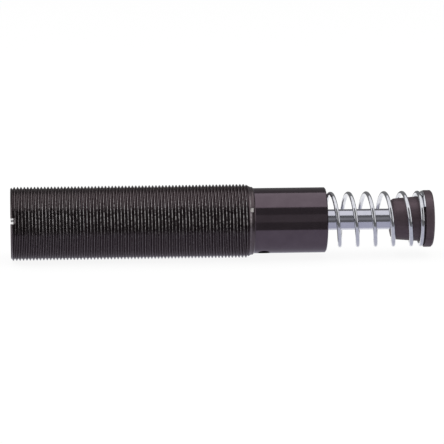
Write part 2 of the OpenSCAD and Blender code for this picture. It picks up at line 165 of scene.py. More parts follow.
def turned(profile: Sequence[Pair], steps: int, closed: bool = False) -> Solid:
    """Turn a profile about the absorber's axis.

    Args:
        profile: points of place along the axis and radius, in mm.
        steps: faces round the turn.
        closed: whether the profile is a loop; otherwise its two ends lie on the axis.

    Returns:
        A closed mesh with its normals outwards.
    """
    bm = bmesh.new()
    verts = [bm.verts.new((x * MM, 0.0, r * MM)) for x, r in profile]
    edges = [bm.edges.new(pair) for pair in zip(verts, verts[1:])]
    if closed:
        edges.append(bm.edges.new((verts[-1], verts[0])))
    bmesh.ops.spin(bm, geom=verts + edges, axis=AXIS, angle=math.tau, steps=steps, use_merge=True)
    bmesh.ops.remove_doubles(bm, verts=bm.verts[:], dist=WELD)
    bmesh.ops.recalc_face_normals(bm, faces=bm.faces[:])
    return bm


def turn_matrix(axis: str, degrees: float) -> Matrix:
    """Give the matrix of a turn about one of the main axes."""
    return Matrix.Rotation(math.radians(degrees), 3, axis)


class Cut(Enum):
    """How one solid changes another."""

    KEEP_SHARED = "INTERSECT"
    TAKE_AWAY = "DIFFERENCE"


def carve(piece: Piece, tool: Piece, how: Cut) -> None:
    """Change a piece by a tool, which is then deleted.

    Args:
        piece: the piece, whose mesh is changed.
        tool: closed solid that cuts it.
        how: what is kept.
    """
    modifier = piece.modifiers.new("carve", "BOOLEAN")
    modifier.operation = how.value
    modifier.solver = "MANIFOLD"
    modifier.object = tool
    settle(piece)
    # takes the tool's object with it
    bpy.data.meshes.remove(tool.data)


def settle(piece: Piece) -> None:
    """Make what a piece's modifiers give its own mesh, and drop them.

    Args:
        piece: the piece, which keeps its name.
    """
    graph = bpy.context.evaluated_depsgraph_get()
    result = bpy.data.meshes.new_from_object(piece.evaluated_get(graph), depsgraph=graph)
    piece.modifiers.clear()
    old, result.name = piece.data, piece.name
    piece.data = result
    bpy.data.meshes.remove(old)


# ------ finishes


def new_material(name: str) -> tuple[Material, Tree, Socket]:
    """Start a node material.

    Args:
        name: name of the material.

    Returns:
        The material, its empty tree and the object coordinates.
    """
    material = bpy.data.materials.new(name)
    material.use_nodes = True
    tree = material.node_tree
    tree.nodes.clear()
    place = add_node(tree, "ShaderNodeTexCoord").outputs["Object"]
    return material, tree, place


def close_material(tree: Tree, shader: bpy.types.Node) -> None:
    """Send a shader to the material's output."""
    add_node(tree, "ShaderNodeOutputMaterial", links={"Surface": shader.outputs[0]})


@dataclass(frozen=True)
class CutThread:
    """What a threading die leaves of a finish, with painted light: duller flanks, crests worn bright under
    a painted highlight, and an oily film with painted shade at the root.

    Sizes are in mm: cut, crest and root are spans of the radius, rim is a span of the distance from rim_x,
    painted_band_z and painted_band_half are heights, and fresh_to is the place where the fresh rear end
    stops.
    """

    cut: Pair
    tone: str
    roughness: float
    metallic: float
    crest: Pair
    crest_tone: str
    crest_metallic: float
    crest_share: float
    painted_band_share: float
    painted_band_z: float
    painted_band_half: float
    fresh_to: float
    fresh_share: float
    rim_x: float
    rim: Pair
    rim_share: float
    root: Pair
    root_tone: str
    root_share: float
    chip: float
    chip_range: Pair

    def radius(self, tree: Tree, place: Socket) -> Socket:
        """Add the distance from the axis.

        Args:
            tree: tree of the material.
            place: object coordinates.

        Returns:
            Socket with the radius in metres.
        """
        flat = add_node(
            tree, "ShaderNodeVectorMath", {"operation": "MULTIPLY", 1: (0.0, 1.0, 1.0)}, {0: place}
        )
        away = add_node(tree, "ShaderNodeVectorMath", {"operation": "LENGTH"}, {0: flat.outputs[0]})
        return away.outputs["Value"]

    def painted_light_band(self, tree: Tree, height: Socket) -> Socket:
        """Add how near a point is to a band of height in which the crests' painted highlight and the roots'
        painted shade are strongest.

        Args:
            tree: tree of the material.
            height: Z of the object coordinates.

        Returns:
            Socket with the share, from the least outside the band to the most within it.
        """
        # painted light: a band of height a little above the axis, where crests are painted brighter and
        # roots darker
        off = add_node(tree, "ShaderNodeMath", {"operation": "SUBTRACT", 1: self.painted_band_z * MM}, {0: height})
        away = add_node(tree, "ShaderNodeMath", {"operation": "ABSOLUTE"}, {0: off.outputs[0]})
        return add_node(
            tree, "ShaderNodeMapRange",
            {"interpolation_type": "SMOOTHSTEP", "From Max": self.painted_band_half * MM,
             "To Min": self.painted_band_share, "To Max": self.crest_share},
            {"Value": away.outputs[0]},
        ).outputs[0]

    def wear_and_painted_light(self, tree: Tree, place: Socket) -> tuple[Socket, Socket, Socket]:
        """Add where the thread is cut, where an oily film and painted shade darken it, and where it is worn
        bright and painted with a highlight.

        Args:
            tree: tree of the material.
            place: object coordinates.

        Returns:
            Shares of cut steel, of oily film and painted shade, most at the root, and of worn metal and
            painted highlight, in chips on the crests and in a painted glint ring at the end of the thread.
        """
        radius = self.radius(tree, place)
        parts = add_node(tree, "ShaderNodeSeparateXYZ", links={0: place}).outputs
        side = self.painted_light_band(tree, parts["Z"])
        cut = add_node(tree, "ShaderNodeMapRange", map_from(self.cut), {"Value": radius}).outputs[0]
        # painted shade: the roots are darkened, most in the band of height, partly as an oily film
        root = add_node(
            tree, "ShaderNodeMapRange",
            {**map_from(self.root), "To Min": self.root_share, "To Max": 0.0}, {"Value": radius},
        )
        crest = add_node(tree, "ShaderNodeMapRange", map_from(self.crest), {"Value": radius})
        length = parts["X"]
        past = add_node(tree, "ShaderNodeMath", {"operation": "SUBTRACT", 1: self.rim_x * MM}, {0: length})
        reach = add_node(tree, "ShaderNodeMath", {"operation": "ABSOLUTE"}, {0: past.outputs[0]})
        # painted highlight: a bright ring round the barrel near the end of the thread, where a glint falls
        rim = add_node(
            tree, "ShaderNodeMapRange", {**map_from(self.rim), "To Max": self.rim_share},
            {"Value": reach.outputs[0]},
        )
        ridge = add_node(
            tree, "ShaderNodeMath", {"operation": "MAXIMUM"}, {0: crest.outputs[0], 1: rim.outputs[0]}
        )
        used = add_node(
            tree, "ShaderNodeMapRange", {"From Max": self.fresh_to * MM, "To Min": self.fresh_share},
            {"Value": length},
        )
        noise = add_node(
            tree, "ShaderNodeTexNoise", {"Scale": 1 / (self.chip * MM), "Detail": 3.0, "Roughness": 0.7},
            {"Vector": place},
        )
        chips = add_node(
            tree, "ShaderNodeMapRange", map_from(self.chip_range, 1.0), {"Value": noise.outputs[0]}
        )
        shares = []
        for share, *factors in (
            (root.outputs[0], side, cut), (ridge.outputs[0], used.outputs[0], side, chips.outputs[0])
        ):
            for factor in factors:
                product = add_node(tree, "ShaderNodeMath", {"operation": "MULTIPLY"}, {0: share, 1: factor})
                share = product.outputs[0]
            shares.append(share)
        return cut, *shares


@dataclass(frozen=True)
class MachinedMetal:
    """A metal surface from the lathe or the grinder, with its marks, stains and worn edges."""

    name: str
    slot: str
    tone: str
    stain: str
    roughness: Pair
    mark_mm: float
    mark_depth_mm: float
    stain_mm: float = 4.0
    stain_range: Pair = (0.36, 0.68)
    streak: float = 1.0
    mark_wander: float = 1.4
    grit_mm: float = 0.35
    grit_share: float = 0.45
    metallic: float = 1.0
    thread: CutThread | None = None

    def material(self) -> Material:
        """Build the material, unless it is already there.

        Returns:
            The material.
        """
        if self.name in bpy.data.materials:
            return bpy.data.materials[self.name]
        material, tree, place = new_material(self.name)
        # stains as oil and oxide leave them; a streak below 1 draws them out along the axis
        spread = add_node(tree, "ShaderNodeMapping", {"Scale": (self.streak, 1.0, 1.0)}, {"Vector": place})
        cloud = add_node(
            tree, "ShaderNodeTexNoise",
            {"Scale": 1 / (self.stain_mm * MM), "Detail": 5.0, "Roughness": 0.62},
            {"Vector": spread.outputs[0]},
        )
        patch = add_node(
            tree, "ShaderNodeMapRange", map_from(self.stain_range, 1.0), {"Value": cloud.outputs[0]}
        )
        colour = add_node(
            tree, "ShaderNodeMix", {"data_type": "RGBA", 6: linear(self.tone), 7: linear(self.stain)},
            {0: patch.outputs[0]},
        ).outputs[2]
        if self.thread:
            cut, oil_and_shade, rubbed_and_highlit = self.thread.wear_and_painted_light(tree, place)
            # the thread's painted shade at the roots and painted highlight on the crests are mixed into the
            # colour here
            for tone, share in (
                (self.thread.tone, cut), (self.thread.root_tone, oil_and_shade), (self.thread.crest_tone, rubbed_and_highlit)
            ):
                colour = add_node(
                    tree, "ShaderNodeMix", {"data_type": "RGBA", 7: linear(tone)}, {0: share, 6: colour}
                ).outputs[2]
        # the tool's marks: rings at the feed of the lathe or the grinder
        marks = add_node(
            tree, "ShaderNodeTexWave",
            {"bands_direction": "X", "Scale": WAVE_STEP / (self.mark_mm * MM), "Detail": 2.0,
             "Detail Scale": 0.2, "Distortion": self.mark_wander},
            {"Vector": place},
        )
        grit = add_node(
            tree, "ShaderNodeTexNoise", {"Scale": 1 / (self.grit_mm * MM), "Detail": 4.0, "Roughness": 0.6},
            {"Vector": place},
        )
        height = add_node(
            tree, "ShaderNodeMix", {"data_type": "FLOAT", 0: self.grit_share},
            {2: marks.outputs["Fac"], 3: grit.outputs[0]},
        )
        bump = add_node(
            tree, "ShaderNodeBump", {"Distance": self.mark_depth_mm * MM}, {"Height": height.outputs[0]}
        )
        gloss = add_node(
            tree, "ShaderNodeMapRange", {"To Min": self.roughness[0], "To Max": self.roughness[1]},
            {"Value": cloud.outputs[0]},
        )
        shader = add_node(
            tree, "ShaderNodeBsdfPrincipled", {"Metallic": self.metallic},
            {"Base Color": colour, "Roughness": gloss.outputs[0], "Normal": bump.outputs[0]},
        )
        if self.thread:
            dull = add_node(
                tree, "ShaderNodeMix", {"data_type": "FLOAT", 3: self.thread.roughness},
                {0: cut, 2: gloss.outputs[0]},
            )
            oxide = add_node(
                tree, "ShaderNodeMix", {"data_type": "FLOAT", 2: self.metallic, 3: self.thread.metallic},
                {0: cut},
            )
            bare = add_node(
                tree, "ShaderNodeMix", {"data_type": "FLOAT", 3: self.thread.crest_metallic},
                {0: rubbed_and_highlit, 2: oxide.outputs[0]},
            )
            tree.links.new(dull.outputs[0], shader.inputs["Roughness"])
            tree.links.new(bare.outputs[0], shader.inputs["Metallic"])
        close_material(tree, shader)
        return material


@dataclass(frozen=True)
class MouldedPolymer:
    """A rubber, foam or plastic surface with its grain."""

    name: str
    slot: str
    tone: str
    shade: str
    roughness: float
    grain_mm: float
    grain_depth_mm: float
    cloud_mm: float = 3.0
    gloss_spread: float = 0.08
    ior: float = 1.5
    sheen: float = 0.0
    cells: bool = False

    def material(self) -> Material:
        """Build the material, unless it is already there.

        Returns:
            The material.
        """
        if self.name in bpy.data.materials:
            return bpy.data.materials[self.name]
        material, tree, place = new_material(self.name)
        kind = "ShaderNodeTexVoronoi" if self.cells else "ShaderNodeTexNoise"
        grain = add_node(tree, kind, {"Scale": 1 / (self.grain_mm * MM)}, {"Vector": place})
        cloud = add_node(
            tree, "ShaderNodeTexNoise", {"Scale": 1 / (self.cloud_mm * MM), "Detail": 4.0},
            {"Vector": place},
        )
        base = add_node(
            tree, "ShaderNodeMix", {"data_type": "RGBA", 6: linear(self.tone), 7: linear(self.shade)},
            {0: cloud.outputs[0]},
        )
        bump = add_node(
            tree, "ShaderNodeBump", {"Distance": self.grain_depth_mm * MM}, {"Height": grain.outputs[0]}
        )
        gloss = add_node(
            tree, "ShaderNodeMapRange",
            {"To Min": self.roughness - self.gloss_spread, "To Max": self.roughness + self.gloss_spread},
            {"Value": cloud.outputs[0]},
        )
        shader = add_node(
            tree, "ShaderNodeBsdfPrincipled", {"IOR": self.ior, "Sheen Weight": self.sheen},
            {"Base Color": base.outputs[2], "Roughness": gloss.outputs[0], "Normal": bump.outputs[0]},
        )
        close_material(tree, shader)
        return material


class Finish(Enum):
    """The finishes of the absorber's pieces."""

    # black oxide on turned steel: a thin dark layer, so it mirrors softly, and worn grey on the crests; in
    # a band of height the crests get a painted highlight and the roots painted shade
    BODY = MachinedMetal(
        "black_oxide_turned_steel", "body_steel", "#655A62", "#5F545C",
        roughness=(0.09, 0.14), mark_mm=0.12, mark_depth_mm=0.0006, stain_mm=5.0, metallic=0.97,
        thread=CutThread(
            cut=(14.75, 14.85), tone="#675D60", roughness=0.27, metallic=0.98,
            crest=(16.18, 16.28), crest_tone="#C6C3C4", crest_metallic=0.55, crest_share=0.16,
            painted_band_share=1.0, painted_band_z=5.0, painted_band_half=10.5, fresh_to=14.0, fresh_share=0.4,
            rim_x=105.9, rim=(0.3, 0.1), rim_share=0.6,
            root=(15.5, 15.9), root_tone="#2A262A", root_share=0.45, chip=1.1, chip_range=(0.34, 0.58),
        ),
    )
    # the same steel filed bare at the end of the thread: light grey, with fine scratches
    FILED = MachinedMetal(
        "bare_filed_steel", "body_steel", "#CFCBC9", "#BDB9B7",
        roughness=(0.45, 0.6), mark_mm=0.2, mark_depth_mm=0.002, metallic=0.5,
    )
    # the same oxide on a rougher turning, heated to a brown cast
    BUTTON = MachinedMetal(
        "brown_oxide_turned_steel", "button_steel", "#61535A", "#50444A",
        roughness=(0.5, 0.62), mark_mm=0.22, mark_depth_mm=0.004, stain_mm=6.0, streak=0.4, metallic=0.7,
    )
    # hard chrome, ground and polished: a clear cold mirror with only a trace of the grinder
    ROD = MachinedMetal(
        "ground_hard_chrome", "chrome_rod", "#CCCCD8", "#C2C3D0",
        roughness=(0.12, 0.18), mark_mm=0.06, mark_depth_mm=0.0004, stain_mm=6.0,
    )
    # zinc plate on drawn wire: bright and a little milky
    SPRING = MachinedMetal(
        "zinc_plated_spring_wire", "spring_steel", "#E2E3E8", "#CFD0D8",
        roughness=(0.08, 0.16), mark_mm=0.3, mark_depth_mm=0.0015, stain_mm=2.0,
    )
    # plain steel off the lathe: grey, with the tool's rings
    STEEL = MachinedMetal(
        "plain_turned_steel", "turned_steel", "#BCBCBE", "#A8A8AA",
        roughness=(0.25, 0.38), mark_mm=0.15, mark_depth_mm=0.003,
    )
    # bearing bronze: warm, dulled by oil
    BRONZE = MachinedMetal(
        "turned_bearing_bronze", "bronze", "#B88E55", "#A37B45",
        roughness=(0.28, 0.42), mark_mm=0.15, mark_depth_mm=0.003,
    )
    # soft copper washer: red and evenly dull
    COPPER = MachinedMetal(
        "annealed_copper", "copper_seal", "#C98363", "#B06A4C",
        roughness=(0.3, 0.45), mark_mm=0.2, mark_depth_mm=0.002,
    )
    # phosphated spring steel: charcoal, slightly crystalline
    CLIP = MachinedMetal(
        "phosphated_spring_steel", "clip_steel", "#46474B", "#3A3B3F",
        roughness=(0.45, 0.6), mark_mm=0.5, mark_depth_mm=0.003, stain_mm=1.5,
    )
    # PTFE with a mineral filler: dull, waxy and dark green
    GUIDE = MouldedPolymer(
        "filled_ptfe", "guide_plastic", "#45756B", "#3B675E",
        roughness=0.5, grain_mm=0.3, grain_depth_mm=0.003, ior=1.38,
    )
    # cast polyurethane: dark blue with a soft gloss
    SEAL = MouldedPolymer(
        "cast_polyurethane", "seal_polyurethane", "#304C78", "#293F66",
        roughness=0.35, grain_mm=0.4, grain_depth_mm=0.002,
    )
    # moulded nitrile rubber: black, with a fine moulded grain
    RUBBER = MouldedPolymer(
        "moulded_nitrile_rubber", "seal_rubber", "#222224", "#1B1B1C",
        roughness=0.55, grain_mm=0.25, grain_depth_mm=0.004, ior=1.52,
    )
    # closed-cell nitrile foam: cells of about half a millimetre, cut open at the surface
    FOAM = MouldedPolymer(
        "closed_cell_nitrile_foam", "foam_rubber", "#4C4F47", "#3C3F38",
        roughness=0.85, grain_mm=0.5, grain_depth_mm=0.15, sheen=0.2, cells=True,
    )


def dress(piece: Piece, finish: Finish, body: str, replaced: Iterable[str]) -> None:
    """Give a new piece its finish, its body and the nodes that it stands for.

    Args:
        piece: the finished piece.
        finish: what its surface is.
        body: CAD body that it moves with.
        replaced: CAD nodes that it replaces.
    """
    piece.data.materials.clear()
    piece.data.materials.append(finish.value.material())
    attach(piece, body)
    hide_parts(*replaced)
    log.info("%s: %d faces, %s, on %s", piece.name, len(piece.data.polygons), finish.value.name, body)


def dress_nodes(finish: Finish, *nodes: str) -> None:
    """Give CAD nodes, whose shape is right, a procedural finish.

    Args:
        finish: what their surface is.
        nodes: names of the nodes.
    """
    for node in nodes:
        for slot in bpy.data.objects[node].material_slots:
            slot.material = finish.value.material()
        log.info("%s: %s", node, finish.value.name)


# ------ pieces


@dataclass
class Barrel:
    """Barrel with its mounting thread, nose, bores, driver slot, spanner hole and nick. Sizes in mm."""

    pitch: float = 1.5
    crest_flat: float = 0.28
    crest_break: float = 0.06
    root_flat: float = 0.25
    thread_depth: float = 0.92
    steps_per_turn: int = 96
    thread_start_deg: float = 74.0
    rear_chamfer: float = 0.8
    thread_l: float = 108.1
    runout_l: float = 2.2
    collar_l: float = 1.3
    collar_step: float = 0.55
    nose_r: float = 14.6
    nose_chamfer: float = 0.4
    edge_break: float = 0.3
    bore_r: float = 11.75
    reservoir_r: float = 10.5
    rear_wall: float = 8.0
    port_r: float = 4.0
    fill_hole_r: float = 1.6
    counterbore_r: float = 13.1
    counterbore_depth: float = 6.5
    clip_land: float = 1.3
    clip_groove: float = 0.7
    clip_groove_w: float = 1.3
    slot_w: float = 2.6
    slot_depth: float = 1.3
    slot_turn_deg: float = 165.0
    spanner_r: float = 2.6
    spanner_point: float = 0.78
    spanner_over: float = 2.0
    spanner_steps: int = 48
    spanner_depth: float = 2.1
    spanner_x: float = 4.3
    spanner_turn_deg: float = 23.0
    nick_l: float = 1.5
    nick_w: float = 2.0
    nick_x: float = 1.7
    nick_depth: float = 0.12
    nick_turn_deg: float = 61.0
    turn_steps: int = 144

    def __post_init__(self) -> None:
        """Take the outer sizes from the CAD node."""
        _, self.length, self.thread_r = box_mm("cylinder_body")
        self.x_plate = box_mm("base_plate")[0]
        self.x_port_floor = box_mm("fill_plug_seal")[1]
        self.collar_r = self.nose_r + self.collar_step
        self.nick_floor = self.collar_r - self.nick_depth

    def tooth(self) -> list[Pair]:
        """Draw one pitch of the thread from root to root, with the corners of its crest broken.

        Returns:
            Points of place along the axis and radius.
        """
        flank = (self.pitch - self.crest_flat - self.root_flat) / 2
        root = self.thread_r - self.thread_depth
        drop = self.crest_break * self.thread_depth / flank
        half = self.crest_break / 2
        fall = flank + self.crest_flat
        return [
            (0.0, root), (flank - half, self.thread_r - drop), (flank + half, self.thread_r),
            (fall - half, self.thread_r), (fall + half, self.thread_r - drop), (fall + flank, root),
            (self.pitch, root),
        ]

    def threaded_bar(self) -> Piece:
        """Sweep one turn of the tooth along its helix, and repeat it into a bar longer than the barrel.

        Returns:
            The bar, right-handed.
        """
        spare = 2 * self.pitch
        turns = math.ceil((self.length + 2 * spare) / self.pitch)
        first = math.radians(self.thread_start_deg)
        bm = bmesh.new()
        verts = [
            bm.verts.new(((x - spare) * MM, -r * MM * math.sin(first), r * MM * math.cos(first)))
            for x, r in self.tooth()
        ]
        edges = [bm.edges.new(pair) for pair in zip(verts, verts[1:])]
        bmesh.ops.spin(
            bm, geom=verts + edges, axis=AXIS, angle=math.tau, steps=self.steps_per_turn,
            dvec=(self.pitch / self.steps_per_turn * MM, 0.0, 0.0), use_merge=False,
        )
        bar = made(bm, "cylinder_body.helix")
        repeat = bar.modifiers.new("turns", "ARRAY")
        repeat.count = turns
        repeat.use_relative_offset = False
        repeat.use_constant_offset = True
        repeat.constant_offset_displace = (self.pitch * MM, 0.0, 0.0)
        settle(bar)
        bm = bmesh.new()
        bm.from_mesh(bar.data)
        bmesh.ops.remove_doubles(bm, verts=bm.verts[:], dist=TURN_JOINT)
        rims = [edge for edge in bm.edges if edge.is_boundary]
        grown = bmesh.ops.extrude_edge_only(bm, edges=rims)["geom"]
        # each end is drawn to a point on the axis, well outside the barrel
        rear_tip, front_tip = -2 * spare * MM, (self.length + 3 * spare) * MM
        for vert in (v for v in grown if isinstance(v, bmesh.types.BMVert)):
            vert.co = (rear_tip if vert.co.x < self.length / 2 * MM else front_tip, 0.0, 0.0)
        bmesh.ops.remove_doubles(bm, verts=bm.verts[:], dist=TURN_JOINT)
        bmesh.ops.recalc_face_normals(bm, faces=bm.faces[:])
        bm.to_mesh(bar.data)
        bm.free()
        return bar

    def envelope(self) -> Piece:
        """Turn the barrel with all its bores, as it is before the thread is cut.

        Returns:
            The solid that the threaded bar is trimmed to.
        """
        x_shoulder = self.length - self.counterbore_depth
        x_clip_end = x_shoulder - self.clip_land
        x_gland_front = x_clip_end - self.clip_groove_w
        clip_r = self.bore_r + self.clip_groove
        x_collar = self.thread_l - self.collar_l
        profile = [
            (0.0, self.port_r), (0.0, self.thread_r - self.rear_chamfer),
            (self.rear_chamfer, self.thread_r), (x_collar - self.runout_l, self.thread_r),
            (x_collar, self.collar_r),
            (self.thread_l - self.collar_step, self.collar_r), (self.thread_l, self.nose_r),
            (self.length - self.nose_chamfer, self.nose_r), (self.length, self.nose_r - self.nose_chamfer),
            (self.length, self.counterbore_r + self.edge_break),
            (self.length - self.edge_break, self.counterbore_r), (x_shoulder, self.counterbore_r),
            (x_shoulder, self.bore_r), (x_clip_end, self.bore_r), (x_clip_end, clip_r),
            (x_gland_front, clip_r), (x_gland_front, self.bore_r), (self.x_plate, self.bore_r),
            (self.x_plate, self.reservoir_r), (self.rear_wall, self.reservoir_r),
            (self.rear_wall, self.fill_hole_r), (self.x_port_floor, self.fill_hole_r),
            (self.x_port_floor, self.port_r),
        ]
        return made(turned(profile, self.turn_steps, closed=True), "cylinder_body.envelope")

    def block(self, name: str, size: Triple, place: Triple, turn_deg: float) -> Piece:
        """Make a milling tool as a block.

        Args:
            name: name of the tool.
            size: length, width and height in mm.
            place: its middle in mm, before it is turned.
            turn_deg: turn about the absorber's axis.

        Returns:
            The tool.
        """
        bm = bmesh.new()
        bmesh.ops.create_cube(bm, size=1.0)
        bmesh.ops.scale(bm, verts=bm.verts, vec=[side * MM for side in size])
        bmesh.ops.translate(bm, verts=bm.verts, vec=[way * MM for way in place])
        bmesh.ops.rotate(bm, verts=bm.verts, matrix=turn_matrix("X", turn_deg))
        return made(bm, name)

    def drill(self) -> Piece:
        """Make the pointed drill that sinks the spanner hole into the nose.

        Returns:
            The tool.
        """
        drill_l = self.spanner_depth + self.spanner_over
        bm = turned(
            [(0.0, 0.0), (self.spanner_point, self.spanner_r), (drill_l, self.spanner_r), (drill_l, 0.0)],
            self.spanner_steps,
        )
        bmesh.ops.rotate(bm, verts=bm.verts, matrix=turn_matrix("Y", 90.0))
        bmesh.ops.translate(
            bm, verts=bm.verts,
            vec=((self.thread_l + self.spanner_x) * MM, 0.0, -(self.nose_r - self.spanner_depth) * MM),
        )
        bmesh.ops.rotate(bm, verts=bm.verts, matrix=turn_matrix("X", -self.spanner_turn_deg))
        return made(bm, "cylinder_body.spanner")

    def bare_nick(self, body: Piece) -> None:
        """Give the filed flat its bare steel.

        Args:
            body: the barrel, after it is dressed.
        """
        body.data.materials.append(Finish.FILED.value.material())
        turn = turn_matrix("X", -self.nick_turn_deg)
        for face in body.data.polygons:
            middle = turn @ face.center / MM
            along = abs(middle.x - self.thread_l + self.nick_x) < self.nick_l / 2
            across = abs(middle.y) < self.nick_w / 2
            if along and across and abs(middle.z - self.nick_floor) < WELD / MM:
                face.material_index = 1

    def clean(self, body: Piece) -> None:
        """Drop the hair-thin edges that the cuts leave, and split the many-sided faces.

        Args:
            body: the barrel, whose mesh is changed.
        """
        bm = bmesh.new()
        bm.from_mesh(body.data)
        bmesh.ops.dissolve_degenerate(bm, dist=HAIR, edges=bm.edges[:])
        bmesh.ops.triangulate(bm, faces=[face for face in bm.faces if len(face.verts) > 4])
        bm.to_mesh(body.data)
        bm.free()

    def build(self) -> None:
        """Cut the thread, the slot, the spanner hole and the nick, and dress what the barrel holds."""
        body = self.threaded_bar()
        body.name = "barrel_with_thread"
        carve(body, self.envelope(), Cut.KEEP_SHARED)
        slot = self.block(
            "cylinder_body.slot", (2 * self.slot_depth, 3 * self.thread_r, self.slot_w), CENTRE,
            self.slot_turn_deg,
        )
        nick = self.block(
            "cylinder_body.nick", (self.nick_l, self.nick_w, self.nick_w),
            (self.thread_l - self.nick_x, 0.0, self.nick_floor + self.nick_w / 2), self.nick_turn_deg,
        )
        for tool in (slot, self.drill(), nick):
            carve(body, tool, Cut.TAKE_AWAY)
        self.clean(body)
        smooth(body.data)
        dress(body, Finish.BODY, "barrel", ["cylinder_body"])
        self.bare_nick(body)
        dress_nodes(Finish.STEEL, "fill_plug")
        dress_nodes(Finish.COPPER, "fill_plug_seal")
        dress_nodes(Finish.FOAM, "foam_accumulator")


@dataclass
class TubeAndGland:
    """Pressure tube, base plate and gland with its bearing, seals and retaining ring."""

    def build(self) -> None:
        """Dress the CAD nodes, which have their right shapes."""
        dress_nodes(Finish.STEEL, "base_plate", "pressure_tube", "gland", "seal_spacer", "spring_seat")
        dress_nodes(Finish.RUBBER, "tube_seal", "gland_seal", "rod_wiper")
        dress_nodes(Finish.GUIDE, "rebound_stop")
        dress_nodes(Finish.BRONZE, "rod_bearing")
        dress_nodes(Finish.SEAL, "rod_seal")
        dress_nodes(Finish.CLIP, "retaining_ring")


@dataclass
class RodAndPiston:
    """Chromed rod with its studs, and the piston on it. Sizes in mm."""

    rod_r: float = 4.65
    piston_stud_r: float = 2.5
    button_stud_r: float = 3.5
    button_stud_l: float = 9.0
    edge_break: float = 0.3
    steps: int = 96

    def build(self) -> None:
        """Turn the rod and dress the piston's nodes."""
        x_rear, x_front, _ = box_mm("piston_rod")
        x_step = box_mm("rebound_washer")[1]
        x_stud = x_front - self.button_stud_l
        e = self.edge_break
        profile = [
            (x_rear, 0.0), (x_rear, self.piston_stud_r - e), (x_rear + e, self.piston_stud_r),
            (x_step, self.piston_stud_r), (x_step, self.rod_r - e), (x_step + e, self.rod_r),
            (x_stud - e, self.rod_r), (x_stud, self.rod_r - e), (x_stud, self.button_stud_r),
            (x_front - e, self.button_stud_r), (x_front, self.button_stud_r - e), (x_front, 0.0),
        ]
        rod = made(turned(profile, self.steps), "chromed_rod")
        dress(rod, Finish.ROD, "rod_group", ["piston_rod"])
        dress_nodes(Finish.BRONZE, "piston_head")
        dress_nodes(Finish.STEEL, "piston_nut", "rebound_washer", "check_ring")
        dress_nodes(Finish.GUIDE, "piston_ring")


@dataclass
class StrikeButton:
    """Tapered shank and strike flange at the end of the rod. Sizes in mm."""

    shank_rear_r: float = 9.2
    shank_front_r: float = 10.2
    shank_l: float = 14.6
    shank_round: float = 2.0
    round_parts: int = 8
    neck: float = 0.3
    flange_chamfer: float = 0.6
    edge_break: float = 0.3
    pilot_r: float = 4.67
    pilot_l: float = 3.0
    stud_r: float = 3.52
    stud_l: float = 10.0
    steps: int = 144

    def build(self) -> None:
        """Turn the button with the bore for the rod's stud."""
        x_rear, x_front, flange_r = box_mm("button")
        x_flange = x_rear + self.shank_l
        x_step = x_rear + self.pilot_l
        r = self.shank_round
        mid_x, mid_r = x_rear + r, self.shank_rear_r - r
        turns = [math.radians(180.0 - 90.0 * i / self.round_parts) for i in range(self.round_parts + 1)]
        profile = [
            (x_rear, self.pilot_r), *((mid_x + r * math.cos(a), mid_r + r * math.sin(a)) for a in turns),
            (x_flange - self.neck, self.shank_front_r), (x_flange, self.shank_front_r + self.neck),
            (x_flange, flange_r - self.edge_break), (x_flange + self.edge_break, flange_r),
            (x_front - self.flange_chamfer, flange_r), (x_front, flange_r - self.flange_chamfer),
            (x_front, 0.0), (x_step + self.stud_l, 0.0), (x_step + self.stud_l, self.stud_r),
            (x_step, self.stud_r), (x_step, self.pilot_r),
        ]
        button = made(turned(profile, self.steps, closed=True), "strike_button")
        dress(button, Finish.BUTTON, "rod_group", ["button"])


